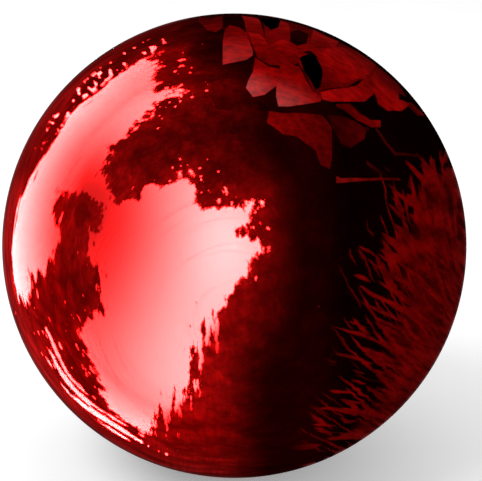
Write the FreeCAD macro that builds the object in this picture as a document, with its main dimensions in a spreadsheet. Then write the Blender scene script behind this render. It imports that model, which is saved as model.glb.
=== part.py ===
import FreeCAD, Part
import os
import Sketcher

# Garden gazing ball: two drawn stainless half shells, welded at the equator over a backing ring,
# polished to a mirror and tinted red. The underside has a pressed foot ring to stand on, and in the
# recess inside it a tapped boss for a stand's stud and a vent hole with a rubber plug.
# Millimetres, +Z up. The origin is the centre of the foot ring, on the surface the ball stands on.

# Driving sizes: alias, value, what it is.
SIZES = [
    ("ball_diameter", 254.0, "outside of the polished ball, 10 inches"),
    ("sheet_gauge", 0.6, "wall of the drawn half shells"),
    ("seam_height", 1.0, "weld bead between the edges of the two half shells"),
    ("ring_height", 12.0, "backing ring, along the axis"),
    ("ring_gauge", 0.8, "backing ring, wall"),
    ("ring_slip", 0.2, "gap that lets the backing ring slide into the half shells"),
    ("root_gap", 0.1, "between the root of the weld bead and the backing ring"),
    ("foot_land", 2.0, "width of the flat land that the ball stands on"),
    ("foot_bend", 2.5, "press radius of the foot's bends, at the middle of the sheet"),
    ("recess_depth", 2.5, "recess inside the foot ring, above the foot plane"),
    ("recess_margin", 0.3, "flat left between the plate's weld and the recess's bend"),
    ("plate_gauge", 1.5, "reinforcing plate inside the shell, over the recess"),
    ("plate_edge", 1.8, "plate left outside the vent hole"),
    ("plate_weld_leg", 1.2, "fillet weld round the reinforcing plate"),
    ("boss_radius", 6.5, "tapped boss, body and neck"),
    ("boss_clearance", 0.1, "radial gap round the neck in the plate and shell"),
    ("boss_flange_radius", 8.6, "flange by which the boss sits on the plate"),
    ("boss_flange_height", 2.0, "flange, thickness"),
    ("boss_proud", 1.2, "how far the boss stands out into the recess"),
    ("boss_end_wall", 2.5, "steel left above the drill point"),
    ("boss_edge", 0.5, "chamfer on the boss's outer edges"),
    ("boss_weld_leg", 1.2, "fillet weld round the boss's flange"),
    ("thread_radius", 3.4, "tapping bore for an M8 thread"),
    ("thread_depth", 13.0, "full-width depth of that bore, from the mouth"),
    ("thread_lead", 0.7, "countersink at the mouth of the bore"),
    ("drill_point_share", 0.6, "height of the drill point over the bore's radius"),
    ("vent_radius", 2.6, "vent hole"),
    ("vent_gap", 0.4, "plate left between the boss's weld and the vent hole"),
    ("plug_clearance", 0.05, "radial gap round the plug's stem in the vent hole"),
    ("plug_lip", 1.4, "how far the plug's head covers the recess round the hole"),
    ("plug_rim", 0.6, "thickness of the head at its rim"),
    ("plug_crown", 0.7, "rise of the head's rounded face"),
    ("plug_taper_length", 3.4, "tapered end of the stem, inside the ball"),
    ("plug_tip_radius", 1.7, "end of that taper"),
    ("overrun", 1.0, "how far a cut runs past the face that it comes out of"),
]

# Sizes and places worked out from the driving sizes: alias, formula.
PLACES = [
    ("ball_radius", "Sizes.ball_diameter / 2"),
    ("inner_radius", "ball_radius - Sizes.sheet_gauge"),
    ("bend_outside", "Sizes.foot_bend + Sizes.sheet_gauge / 2"),
    ("bend_inside", "Sizes.foot_bend - Sizes.sheet_gauge / 2"),
    ("vent_offset", "Sizes.boss_flange_radius + Sizes.boss_weld_leg + Sizes.vent_gap"
                    " + Sizes.vent_radius"),
    ("plate_radius", "vent_offset + Sizes.vent_radius + Sizes.plate_edge"),
    ("recess_flat", "plate_radius + Sizes.plate_weld_leg + Sizes.recess_margin"),
    ("step_cosine", "1 - Sizes.recess_depth / (2 * Sizes.foot_bend)"),
    ("step_sine", "sqrt(1 - step_cosine * step_cosine)"),
    ("step_centre", "bend_outside - 2 * Sizes.foot_bend * step_cosine"),
    ("land_inner", "recess_flat + 2 * Sizes.foot_bend * step_sine"),
    ("foot_radius", "land_inner + Sizes.foot_land"),
    ("foot_sine", "foot_radius / (ball_radius - bend_outside)"),
    ("foot_cosine", "sqrt(1 - foot_sine * foot_sine)"),
    ("centre_height", "bend_outside + (ball_radius - bend_outside) * foot_cosine"),
    ("seam_half", "Sizes.seam_height / 2"),
    ("seam_outer", "sqrt(ball_radius * ball_radius - seam_half * seam_half)"),
    ("seam_inner", "sqrt(inner_radius * inner_radius - seam_half * seam_half)"),
    ("seam_bottom", "centre_height - seam_half"),
    ("seam_top", "centre_height + seam_half"),
    ("ring_outside", "inner_radius - Sizes.ring_slip"),
    ("ring_inside", "ring_outside - Sizes.ring_gauge"),
    ("ring_half", "Sizes.ring_height / 2"),
    ("ring_edge_outer", "sqrt(ring_outside * ring_outside - ring_half * ring_half)"),
    ("ring_edge_inner", "sqrt(ring_inside * ring_inside - ring_half * ring_half)"),
    ("root_radius", "ring_outside + Sizes.root_gap"),
    ("seam_root", "sqrt(root_radius * root_radius - seam_half * seam_half)"),
    ("recess_top", "Sizes.recess_depth + Sizes.sheet_gauge"),
    ("plate_top", "recess_top + Sizes.plate_gauge"),
    ("boss_hole", "Sizes.boss_radius + Sizes.boss_clearance"),
    ("boss_mouth", "Sizes.recess_depth - Sizes.boss_proud"),
    ("bore_end", "boss_mouth + Sizes.thread_depth"),
    ("drill_tip", "bore_end + Sizes.thread_radius * Sizes.drill_point_share"),
    ("boss_top", "drill_tip + Sizes.boss_end_wall"),
    ("flange_top", "plate_top + Sizes.boss_flange_height"),
    ("stem_radius", "Sizes.vent_radius - Sizes.plug_clearance"),
    ("head_radius", "Sizes.vent_radius + Sizes.plug_lip"),
    ("plug_rim_bottom", "Sizes.recess_depth - Sizes.plug_rim"),
    ("plug_bottom", "plug_rim_bottom - Sizes.plug_crown"),
    ("plug_tip", "plate_top + Sizes.plug_taper_length"),
    ("crown_radius", "(head_radius * head_radius + Sizes.plug_crown * Sizes.plug_crown)"
                     " / (2 * Sizes.plug_crown)"),
]

# The two kinds of step in an outline.
LINE = "line"
ARC = "arc"

# A sketch's own numbers for the points of an edge, its axes and its origin point.
START, END, CENTRE = 1, 2, 3
LEVEL, VERTICAL = -1, -2
ORIGIN = (LEVEL, START)


def fill_sheet(doc, name, rows):
    sheet = doc.addObject("Spreadsheet::Sheet", name)
    for number, (alias, content, note) in enumerate(rows, start=1):
        sheet.set(f"A{number}", alias)
        sheet.set(f"B{number}", content)
        sheet.setAlias(f"B{number}", alias)
        sheet.set(f"C{number}", note)
    doc.recompute()
    return sheet


def origin_plane(body, role):
    return next(feature for feature in body.Origin.OriginFeatures if feature.Role == role)


def new_sketch(body, name, role):
    sketch = body.newObject("Sketcher::SketchObject", name)
    sketch.AttachmentSupport = [(origin_plane(body, role), "")]
    sketch.MapMode = "FlatFace"
    return sketch


def point_at(sketch, across, up):
    return FreeCAD.Vector(float(sketch.evalExpression(across)), float(sketch.evalExpression(up)), 0)


def arc_between(start, end, centre):
    """An arc of under half a turn, and which of its ends is the start."""
    circle = Part.Circle(centre, FreeCAD.Vector(0, 0, 1), (start - centre).Length)
    forwards = (start - centre).cross(end - centre).z > 0
    first, last = (start, end) if forwards else (end, start)
    arc = Part.ArcOfCircle(circle, circle.parameter(first), circle.parameter(last))
    return arc, forwards


def place_point(constraints, formulas, edge, end, across=None, up=None):
    """Holds a point of an edge to the formulas for its place, given as (formula, value) pairs."""
    for kind, place, axis in (("DistanceX", across, VERTICAL), ("DistanceY", up, LEVEL)):
        if place is None:
            continue
        formula, distance = place
        if formula == "0":
            constraints.append(Sketcher.Constraint("PointOnObject", edge, end, axis))
        else:
            formulas[len(constraints)] = formula
            constraints.append(Sketcher.Constraint(kind, *ORIGIN, edge, end, distance))


def draw_outline(sketch, steps):
    """Draws a closed outline and binds every corner and arc to the sheets.

    A step is (LINE, across, up) or (ARC, across, up, centre across, centre up), each a formula,
    and runs from the corner where the step before it ended. The last step ends at the corner
    where the first one starts.
    """
    constraints = []
    formulas = {}
    start = point_at(sketch, steps[-1][1], steps[-1][2])
    ends = []
    for step in steps:
        end = point_at(sketch, step[1], step[2])
        if step[0] == LINE:
            edge = sketch.addGeometry(Part.LineSegment(start, end), False)
            ends.append((edge, START, END))
        else:
            centre = point_at(sketch, step[3], step[4])
            arc, forwards = arc_between(start, end, centre)
            edge = sketch.addGeometry(arc, False)
            ends.append((edge, START, END) if forwards else (edge, END, START))
            chord = end - start
            if abs(chord.y) > abs(chord.x):
                place_point(constraints, formulas, edge, CENTRE, across=(step[3], centre.x))
            else:
                place_point(constraints, formulas, edge, CENTRE, up=(step[4], centre.y))
        place_point(constraints, formulas, edge, ends[-1][2], (step[1], end.x), (step[2], end.y))
        start = end
    for before, after in zip(ends, ends[1:] + ends[:1]):
        constraints.append(Sketcher.Constraint("Coincident", before[0], before[2], after[0], after[1]))
    sketch.addConstraint(constraints)
    for index, formula in formulas.items():
        sketch.setExpression(f"Constraints[{index}]", formula)


def turned_body(doc, name, steps):
    """A body made by turning an outline, drawn in the XZ plane, once round its Z axis."""
    body = doc.addObject("PartDesign::Body", name)
    body.Label = name
    sketch = new_sketch(body, f"{name}_outline", "XZ_Plane")
    draw_outline(sketch, steps)
    turn = body.newObject("PartDesign::Revolution", f"{name}_turn")
    turn.Profile = sketch
    turn.ReferenceAxis = (sketch, ["V_Axis"])
    turn.Angle = 360
    body.Tip = turn
    doc.recompute()
    return body


def cut_vent_hole(doc, body):
    """Drills the vent hole up through the body, off the ball's axis."""
    uncut = body.Shape.Volume
    sketch = new_sketch(body, f"{body.Name}_vent", "XY_Plane")
    centre = point_at(sketch, "Places.vent_offset", "0")
    radius = float(sketch.evalExpression("Sizes.vent_radius"))
    circle = sketch.addGeometry(Part.Circle(centre, FreeCAD.Vector(0, 0, 1), radius), False)
    sketch.addConstraint([
        Sketcher.Constraint("Radius", circle, radius),
        Sketcher.Constraint("DistanceX", -1, 1, circle, 3, centre.x),
        Sketcher.Constraint("PointOnObject", circle, 3, -1),
    ])
    sketch.setExpression("Constraints[0]", "Sizes.vent_radius")
    sketch.setExpression("Constraints[1]", "Places.vent_offset")
    hole = body.newObject("PartDesign::Pocket", f"{body.Name}_vent_hole")
    hole.Profile = sketch
    hole.Reversed = True
    hole.setExpression("Length", "Places.plate_top + Sizes.overrun")
    body.Tip = hole
    doc.recompute()
    if not body.Shape.Volume < uncut:
        raise RuntimeError(f"the vent hole cuts nothing from {body.Label}")


def make_upper_shell(doc):
    """Drawn half shell from the seam's upper edge to the top of the ball."""
    return turned_body(doc, "upper_shell", [
        (LINE, "Places.seam_outer", "Places.seam_top"),
        (ARC, "0", "Places.centre_height + Places.ball_radius",
         "0", "Places.centre_height"),
        (LINE, "0", "Places.centre_height + Places.inner_radius"),
        (ARC, "Places.seam_inner", "Places.seam_top",
         "0", "Places.centre_height"),
    ])


def make_lower_shell(doc):
    """Drawn half shell with the foot ring and its recess pressed into the bottom."""
    centre = ("0", "Places.centre_height")
    land_centre = ("Places.land_inner", "Places.bend_outside")
    foot_centre = ("Places.foot_radius", "Places.bend_outside")
    step_centre = ("Places.recess_flat", "Places.step_centre")
    body = turned_body(doc, "lower_shell", [
        (LINE, "Places.seam_outer", "Places.seam_bottom"),
        (ARC, "Places.ball_radius * Places.foot_sine",
         "Places.centre_height - Places.ball_radius * Places.foot_cosine",
         *centre),
        (ARC, "Places.foot_radius", "0", *foot_centre),
        (LINE, "Places.land_inner", "0"),
        (ARC, "Places.land_inner - Places.bend_outside * Places.step_sine",
         "Places.bend_outside * (1 - Places.step_cosine)",
         *land_centre),
        (ARC, "Places.recess_flat", "Sizes.recess_depth", *step_centre),
        (LINE, "Places.boss_hole", "Sizes.recess_depth"),
        (LINE, "Places.boss_hole", "Places.recess_top"),
        (LINE, "Places.recess_flat", "Places.recess_top"),
        (ARC, "Places.land_inner - Places.bend_inside * Places.step_sine",
         "Places.bend_outside - Places.bend_inside * Places.step_cosine",
         *step_centre),
        (ARC, "Places.land_inner", "Sizes.sheet_gauge", *land_centre),
        (LINE, "Places.foot_radius", "Sizes.sheet_gauge"),
        (ARC, "Places.inner_radius * Places.foot_sine",
         "Places.centre_height - Places.inner_radius * Places.foot_cosine",
         *foot_centre),
        (ARC, "Places.seam_inner", "Places.seam_bottom", *centre),
    ])
    cut_vent_hole(doc, body)
    return body


def make_seam_weld(doc):
    """Weld bead between the half shells, ground flush outside and just proud of them inside."""
    centre = ("0", "Places.centre_height")
    return turned_body(doc, "seam_weld", [
        (LINE, "Places.seam_outer", "Places.seam_bottom"),
        (ARC, "Places.seam_outer", "Places.seam_top", *centre),
        (LINE, "Places.seam_root", "Places.seam_top"),
        (ARC, "Places.seam_root", "Places.seam_bottom", *centre),
    ])


def make_seam_backing_ring(doc):
    """Rolled strip inside the seam, curved with the ball, that lines the halves up."""
    centre = ("0", "Places.centre_height")
    bottom = "Places.centre_height - Places.ring_half"
    top = "Places.centre_height + Places.ring_half"
    return turned_body(doc, "seam_backing_ring", [
        (LINE, "Places.ring_edge_outer", bottom),
        (ARC, "Places.ring_edge_outer", top, *centre),
        (LINE, "Places.ring_edge_inner", top),
        (ARC, "Places.ring_edge_inner", bottom, *centre),
    ])


def make_reinforcing_plate(doc):
    """Round plate inside the shell that spreads the stand's load over the thin recess."""
    body = turned_body(doc, "reinforcing_plate", [
        (LINE, "Places.boss_hole", "Places.recess_top"),
        (LINE, "Places.plate_radius", "Places.recess_top"),
        (LINE, "Places.plate_radius", "Places.plate_top"),
        (LINE, "Places.boss_hole", "Places.plate_top"),
    ])
    cut_vent_hole(doc, body)
    return body


def fillet_weld(doc, name, radius, seat, leg):
    """Ring with a three-sided section, lying on a flat seat against a round edge."""
    return turned_body(doc, name, [
        (LINE, radius, seat),
        (LINE, f"{radius} + {leg}", seat),
        (LINE, radius, f"{seat} + {leg}"),
    ])


def make_plate_weld(doc):
    return fillet_weld(doc, "plate_weld", "Places.plate_radius", "Places.recess_top",
                       "Sizes.plate_weld_leg")


def make_boss_weld(doc):
    return fillet_weld(doc, "boss_weld", "Sizes.boss_flange_radius", "Places.plate_top",
                       "Sizes.boss_weld_leg")


def make_mounting_boss(doc):
    """Blind tapped boss, pushed down through the plate and shell until its flange seats."""
    edge = "Sizes.boss_radius - Sizes.boss_edge"
    return turned_body(doc, "mounting_boss", [
        (LINE, "0", "Places.drill_tip"),
        (LINE, "0", "Places.boss_top"),
        (LINE, edge, "Places.boss_top"),
        (LINE, "Sizes.boss_radius", "Places.boss_top - Sizes.boss_edge"),
        (LINE, "Sizes.boss_radius", "Places.flange_top"),
        (LINE, "Sizes.boss_flange_radius", "Places.flange_top"),
        (LINE, "Sizes.boss_flange_radius", "Places.plate_top"),
        (LINE, "Sizes.boss_radius", "Places.plate_top"),
        (LINE, "Sizes.boss_radius", "Places.boss_mouth + Sizes.boss_edge"),
        (LINE, edge, "Places.boss_mouth"),
        (LINE, "Sizes.thread_radius + Sizes.thread_lead", "Places.boss_mouth"),
        (LINE, "Sizes.thread_radius", "Places.boss_mouth + Sizes.thread_lead"),
        (LINE, "Sizes.thread_radius", "Places.bore_end"),
    ])


def make_vent_plug(doc):
    """Rubber push-in plug: a crowned head under the recess and a stem up the vent hole."""
    body = turned_body(doc, "vent_plug", [
        (LINE, "0", "Places.plug_bottom"),
        (ARC, "Places.head_radius", "Places.plug_rim_bottom",
         "0", "Places.plug_bottom + Places.crown_radius"),
        (LINE, "Places.head_radius", "Sizes.recess_depth"),
        (LINE, "Places.stem_radius", "Sizes.recess_depth"),
        (LINE, "Places.stem_radius", "Places.plate_top"),
        (LINE, "Sizes.plug_tip_radius", "Places.plug_tip"),
        (LINE, "0", "Places.plug_tip"),
    ])
    body.setExpression("Placement.Base.x", "Places.vent_offset")
    return body


def check_document(doc, pieces):
    """Stops the macro if anything failed to build, so that no bad file is written."""
    for item in doc.Objects:
        if "Invalid" in item.State or "Error" in item.State:
            raise RuntimeError(f"{item.Label} failed: {item.State}")
    for piece in pieces:
        shape = piece.Shape
        if shape.isNull() or not shape.isValid() or len(shape.Solids) != 1:
            raise RuntimeError(f"{piece.Label} isn't one valid solid")


def main():
    doc = FreeCAD.newDocument("gazing_ball")
    fill_sheet(doc, "Sizes", [(alias, str(value), note) for alias, value, note in SIZES])
    fill_sheet(doc, "Places", [(alias, f"={formula}", "worked out") for alias, formula in PLACES])
    pieces = [
        make_upper_shell(doc),
        make_lower_shell(doc),
        make_seam_weld(doc),
        make_seam_backing_ring(doc),
        make_reinforcing_plate(doc),
        make_plate_weld(doc),
        make_mounting_boss(doc),
        make_boss_weld(doc),
        make_vent_plug(doc),
    ]
    doc.recompute()
    check_document(doc, pieces)
    os.makedirs("parts", exist_ok=True)
    for piece in pieces:
        piece.Shape.exportStep(os.path.join("parts", f"{piece.Label}.step"))
        box = piece.Shape.BoundBox
        print(f"{piece.Label}: {piece.Shape.Volume:.1f} mm3, "
              f"{box.XLength:.2f} x {box.YLength:.2f} x {box.ZLength:.2f} mm")


main()
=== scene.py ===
import math

import bmesh
import bpy
import numpy
from mathutils import Matrix, Vector
from mathutils.geometry import tessellate_polygon


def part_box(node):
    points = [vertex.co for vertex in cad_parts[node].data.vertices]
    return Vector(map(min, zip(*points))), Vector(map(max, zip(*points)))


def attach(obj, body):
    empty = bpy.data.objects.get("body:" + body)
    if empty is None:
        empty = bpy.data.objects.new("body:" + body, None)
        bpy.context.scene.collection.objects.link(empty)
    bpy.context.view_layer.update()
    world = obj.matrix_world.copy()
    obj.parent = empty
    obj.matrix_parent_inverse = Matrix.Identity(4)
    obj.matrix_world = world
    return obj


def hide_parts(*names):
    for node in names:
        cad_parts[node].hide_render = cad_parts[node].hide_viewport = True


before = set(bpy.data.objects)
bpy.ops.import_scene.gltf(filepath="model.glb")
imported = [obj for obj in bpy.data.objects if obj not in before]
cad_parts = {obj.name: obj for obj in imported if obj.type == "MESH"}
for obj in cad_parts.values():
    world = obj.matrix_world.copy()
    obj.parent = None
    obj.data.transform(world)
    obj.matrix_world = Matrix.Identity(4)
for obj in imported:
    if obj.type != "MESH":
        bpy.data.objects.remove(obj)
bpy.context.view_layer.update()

# Sizes in metres, as on the real object, and shares of them. The ball's centre comes from the frame.
SHEET = 0.0006
FOOT_BEND = 0.0025
RECESS_DEPTH = 0.0025
RECESS_FLAT = 0.0187
FOOT_LAND = 0.002
BOSS_HOLE = 0.0066
BOSS_RADIUS = 0.0065
BOSS_FLANGE_RADIUS = 0.0086
BOSS_FLANGE_HEIGHT = 0.002
BOSS_EDGE = 0.0005
BORE_RADIUS = 0.0034
BORE_DEPTH = 0.013
BORE_LEAD = 0.0007
THREAD_DEPTH = 0.00058
THREAD_PITCH = 0.00125
DRILL_POINT_SHARE = 0.6
VENT_OFFSET = 0.0128
VENT_RADIUS = 0.0026
STEM_RADIUS = 0.00255
PLATE_GAUGE = 0.0015
PLUG_RIM = 0.0006
PLUG_CROWN = 0.0007
PLUG_TIP_RADIUS = 0.0017
PLUG_TIP_BEVEL = 0.0002
PLUG_DIMPLE = 0.0012
PLUG_DIMPLE_DEPTH = 0.0003
PLUG_GROOVE = 0.0031
PLUG_GROOVE_DEPTH = 0.00012
PLUG_EDGE = 0.00005
RIM_ROUND = 0.00018
WELD_LEG = 0.0012
WELD_SWELL_SHARE = 0.18
SEAM_ROOT = 0.0007

seam_low, seam_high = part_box("seam_weld")
seam_sides = (seam_high.x, seam_high.y, -seam_low.x, -seam_low.y)
BALL_RADIUS = 0.127
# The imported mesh's facets cut just inside the true circle, and the meshes made here stay in its box.
FACET_SHARE = min(seam_sides) / BALL_RADIUS
CENTRE = Vector((0, 0, (seam_low.z + seam_high.z) / 2))
SEAM_HALF = (seam_high.z - seam_low.z) / 2
INNER_RADIUS = BALL_RADIUS - SHEET
BEND_OUTSIDE = FOOT_BEND + SHEET / 2
BEND_INSIDE = FOOT_BEND - SHEET / 2
STEP_COSINE = 1 - RECESS_DEPTH / (2 * FOOT_BEND)
STEP_SINE = math.sqrt(1 - STEP_COSINE ** 2)
LAND_INNER = RECESS_FLAT + 2 * FOOT_BEND * STEP_SINE
FOOT_RADIUS = LAND_INNER + FOOT_LAND
PLATE_TOP = RECESS_DEPTH + SHEET + PLATE_GAUGE

# Steps round each turned piece, and along its arcs, thread, ripples and weld section.
AROUND = 256
VENT_AROUND = 64
BOSS_AROUND = 120
PLUG_AROUND = 72
FLOOR_AROUND = 96
SPHERE_STEPS = 66
BEND_STEPS = 7
CROWN_STEPS = 60
THREAD_STEPS = 16
RIPPLE_STEPS = 8
WELD_STEPS = 6
# Edges that turn by more than this are shaded sharp.
SHARP_ANGLE = math.radians(35)
# Points closer together than this count as one.
SAME_POINT = 1e-7


# Turned meshes

def arc_points(centre, radius, first, last, steps):
    """Points (radius, height) along an arc, at angles from straight out, in degrees."""
    points = []
    for step in range(steps + 1):
        angle = math.radians(first + (last - first) * step / steps)
        points.append((centre[0] + radius * math.cos(angle), centre[1] + radius * math.sin(angle)))
    return points


def ring_normal(centre, sign):
    """Surface normals of a tube bent round the axis, or of a ball where centre lies on the axis."""
    def normal(point):
        out = Vector((point.x, point.y, 0))
        middle = out.normalized() * centre[0] if out.length > SAME_POINT else Vector()
        middle.z = centre[1]
        return (point - middle).normalized() * sign
    return normal


def flat_normal(direction):
    return lambda point: Vector((0, 0, direction))


def wall_normal(sign, offset=0.0):
    return lambda point: Vector((point.x - offset, point.y, 0)).normalized() * sign


def circle_ring(mesh, centre_x, radius, height, steps):
    return [
        mesh.verts.new((centre_x + radius * math.cos(math.tau * step / steps),
                        radius * math.sin(math.tau * step / steps), height))
        for step in range(steps)
    ]


def ring_key(radius, height):
    return round(radius / SAME_POINT), round(height / SAME_POINT)


def turn_runs(mesh, runs, around=AROUND):
    """Adds rings of faces for each run, a list of (radius, height) points and a surface number."""
    layer = mesh.faces.layers.int.get("surface") or mesh.faces.layers.int.new("surface")
    rings = {}

    def ring(radius, height):
        key = ring_key(radius, height)
        if key not in rings:
            if radius < SAME_POINT:
                rings[key] = [mesh.verts.new((0, 0, height))] * around
            else:
                rings[key] = circle_ring(mesh, 0, radius * FACET_SHARE, height, around)
        return rings[key]

    for points, surface in runs:
        for before, after in zip(points, points[1:]):
            first, second = ring(*before), ring(*after)
            for step in range(around):
                following = (step + 1) % around
                corners = [first[step], first[following], second[following], second[step]]
                distinct = list(dict.fromkeys(corners))
                mesh.faces.new(distinct)[layer] = surface
    return rings


def add_object(name, data):
    item = bpy.data.objects.new(name, data)
    bpy.context.scene.collection.objects.link(item)
    return item


def finish_mesh(name, mesh, normals=None):
    """Turns a bmesh into an object, with the exact normals of each numbered surface if given."""
    data = bpy.data.meshes.new(name)
    layer = mesh.faces.layers.int.get("surface")
    mesh.normal_update()
    if normals:
        for face in mesh.faces:
            middle = face.calc_center_median()
            if normals[face[layer]](middle).dot(face.normal) < 0:
                face.normal_flip()
    else:
        bmesh.ops.recalc_face_normals(mesh, faces=mesh.faces)
    surfaces = [face[layer] for face in mesh.faces] if layer else []
    mesh.to_mesh(data)
    mesh.free()
    for polygon in data.polygons:
        polygon.use_smooth = True
    if normals:
        loop_normals = [None] * len(data.loops)
        for polygon, surface in zip(data.polygons, surfaces):
            for loop in polygon.loop_indices:
                loop_normals[loop] = normals[surface](data.vertices[data.loops[loop].vertex_index].co)
        data.normals_split_custom_set(loop_normals)
    else:
        data.set_sharp_from_angle(angle=SHARP_ANGLE)
    return add_object(name, data)


def place(piece, node, material, body="ball"):
    piece.data.materials.clear()
    piece.data.materials.append(material)
    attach(piece, body)
    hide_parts(node)
    return piece


def ring_edges(mesh, ring):
    edges = []
    for before, after in zip(ring, ring[1:] + ring[:1]):
        edges.append(mesh.edges.get((before, after)) or mesh.edges.new((before, after)))
    return edges


def edge_angle(radius, height):
    """Angle above the ball's equator, in degrees, of the point at that height on that radius."""
    return math.degrees(math.asin((height - CENTRE.z) / radius))


def make_upper_shell(material):
    middle = (0, CENTRE.z)
    top = CENTRE.z + SEAM_HALF
    mesh = bmesh.new()
    outer = arc_points(middle, BALL_RADIUS, edge_angle(BALL_RADIUS, top), 90, SPHERE_STEPS)
    inner = arc_points(middle, INNER_RADIUS, edge_angle(INNER_RADIUS, top), 90, SPHERE_STEPS)
    turn_runs(mesh, [(outer, 0), (inner, 1), ([outer[0], inner[0]], 2)])
    normals = [ring_normal(middle, 1), ring_normal(middle, -1), flat_normal(-1)]
    piece = finish_mesh("upper_half_shell", mesh, normals)
    return place(piece, "upper_shell", material)


def make_lower_shell(material):
    middle = (0, CENTRE.z)
    edge = CENTRE.z - SEAM_HALF
    foot_centre = (FOOT_RADIUS, BEND_OUTSIDE)
    land_centre = (LAND_INNER, BEND_OUTSIDE)
    step_centre = (RECESS_FLAT, BEND_OUTSIDE - 2 * FOOT_BEND * STEP_COSINE)
    blend = math.degrees(math.atan2(BEND_OUTSIDE - CENTRE.z, FOOT_RADIUS))
    step_angle = math.degrees(math.acos(STEP_COSINE))
    recess_top = RECESS_DEPTH + SHEET

    def skin(ball, foot, step, level):
        """One side of the sheet, from the seam down to the recess's flat."""
        return [
            arc_points(middle, ball, edge_angle(ball, edge), blend, SPHERE_STEPS),
            arc_points(foot_centre, foot, blend, -90, BEND_STEPS),
            [(FOOT_RADIUS, level), (LAND_INNER, level)],
            arc_points(land_centre, foot, -90, -90 - step_angle, BEND_STEPS),
            arc_points(step_centre, step, 90 - step_angle, 90, BEND_STEPS),
        ]

    outer = skin(BALL_RADIUS, BEND_OUTSIDE, BEND_INSIDE, 0.0)
    inner = skin(INNER_RADIUS, BEND_INSIDE, BEND_OUTSIDE, SHEET)
    mesh = bmesh.new()
    runs = [(points, number) for number, points in enumerate(outer)]
    runs += [(points, number + len(outer)) for number, points in enumerate(inner)]
    edge_run, bore_run = len(runs), len(runs) + 1
    runs.append(([outer[0][0], inner[0][0]], edge_run))
    runs.append(([(BOSS_HOLE, RECESS_DEPTH), (BOSS_HOLE, recess_top)], bore_run))
    rings = turn_runs(mesh, runs)
    normals = []
    for sign in (1, -1):
        normals += [
            ring_normal(middle, sign),
            ring_normal(foot_centre, sign),
            flat_normal(-sign),
            ring_normal(land_centre, sign),
            ring_normal(step_centre, -sign),
        ]
    normals += [flat_normal(1), wall_normal(-1)]
    vent_surface, under_surface, top_surface = len(normals), len(normals) + 1, len(normals) + 2
    normals += [wall_normal(-1, VENT_OFFSET), flat_normal(-1), flat_normal(1)]
    layer = mesh.faces.layers.int["surface"]
    vents = []
    for height, surface in ((RECESS_DEPTH, under_surface), (recess_top, top_surface)):
        vent = circle_ring(mesh, VENT_OFFSET, VENT_RADIUS, height, VENT_AROUND)
        vents.append(vent)
        loops = [rings[ring_key(BOSS_HOLE, height)], rings[ring_key(RECESS_FLAT, height)], vent]
        edges = [edge for loop in loops for edge in ring_edges(mesh, loop)]
        filled = bmesh.ops.triangle_fill(mesh, edges=edges, use_beauty=True)
        for item in filled["geom"]:
            if isinstance(item, bmesh.types.BMFace):
                item[layer] = surface
    for step in range(len(vents[0])):
        following = (step + 1) % len(vents[0])
        wall = mesh.faces.new([vents[0][step], vents[0][following], vents[1][following], vents[1][step]])
        wall[layer] = vent_surface
    piece = finish_mesh("lower_half_shell", mesh, normals)
    return place(piece, "lower_shell", material)


def make_seam_bead(material):
    middle = (0, CENTRE.z)
    low, high = CENTRE.z - SEAM_HALF, CENTRE.z + SEAM_HALF
    root = BALL_RADIUS - SEAM_ROOT
    mesh = bmesh.new()
    outer = arc_points(middle, BALL_RADIUS, edge_angle(BALL_RADIUS, low), edge_angle(BALL_RADIUS, high), 4)
    inner = arc_points(middle, root, edge_angle(root, low), edge_angle(root, high), 4)
    turn_runs(mesh, [(outer, 0), (inner, 1), ([outer[0], inner[0]], 2), ([outer[-1], inner[-1]], 3)])
    normals = [ring_normal(middle, 1), ring_normal(middle, -1), flat_normal(-1), flat_normal(1)]
    piece = finish_mesh("polished_seam_bead", mesh, normals)
    return place(piece, "seam_weld", material)


def make_boss(material):
    """The boss with its real internal thread, a helical groove in the wall of the bore."""
    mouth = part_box("mounting_boss")[0].z
    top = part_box("mounting_boss")[1].z
    bore_end = mouth + BORE_DEPTH
    tip = bore_end + BORE_RADIUS * DRILL_POINT_SHARE
    flange_top = PLATE_TOP + BOSS_FLANGE_HEIGHT
    mesh = bmesh.new()
    outline = [
        (0, top), (BOSS_RADIUS - BOSS_EDGE, top), (BOSS_RADIUS, top - BOSS_EDGE),
        (BOSS_RADIUS, flange_top), (BOSS_FLANGE_RADIUS, flange_top), (BOSS_FLANGE_RADIUS, PLATE_TOP),
        (BOSS_RADIUS, PLATE_TOP), (BOSS_RADIUS, mouth + BOSS_EDGE), (BOSS_RADIUS - BOSS_EDGE, mouth),
        (BORE_RADIUS + BORE_LEAD, mouth), (BORE_RADIUS, mouth + BORE_LEAD),
    ]
    threaded = bore_end - mouth - BORE_LEAD
    turns = threaded / THREAD_PITCH
    rows = round(turns * THREAD_STEPS)
    bore = [(BORE_RADIUS, mouth + BORE_LEAD + threaded * row / rows) for row in range(rows + 1)]
    rings = turn_runs(mesh, [(outline, 0), (bore, 0), ([bore[-1], (0, tip)], 0)], BOSS_AROUND)
    for radius, height in bore:
        fade = min(1.0, (bore_end - height) / THREAD_PITCH)
        for step, vert in enumerate(rings[ring_key(radius, height)]):
            turn = (height - mouth) / THREAD_PITCH + step / BOSS_AROUND
            groove = 1 - abs(2 * (turn % 1) - 1)
            depth = THREAD_DEPTH * fade * min(1.0, max(0.0, 1.5 * groove - 0.25))
            if height < mouth + BORE_LEAD + SAME_POINT:
                depth = min(depth, THREAD_DEPTH * 0.5)
            vert.co.x *= (radius + depth) / radius
            vert.co.y *= (radius + depth) / radius
    piece = finish_mesh("tapped_boss", mesh)
    corners = piece.data.vertices
    for edge in piece.data.edges:
        ends = [corners[index].co for index in edge.vertices]
        if all(math.hypot(end.x, end.y) < BORE_RADIUS + THREAD_DEPTH * 1.1 for end in ends):
            edge.use_edge_sharp = False
    return place(piece, "mounting_boss", material)


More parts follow.
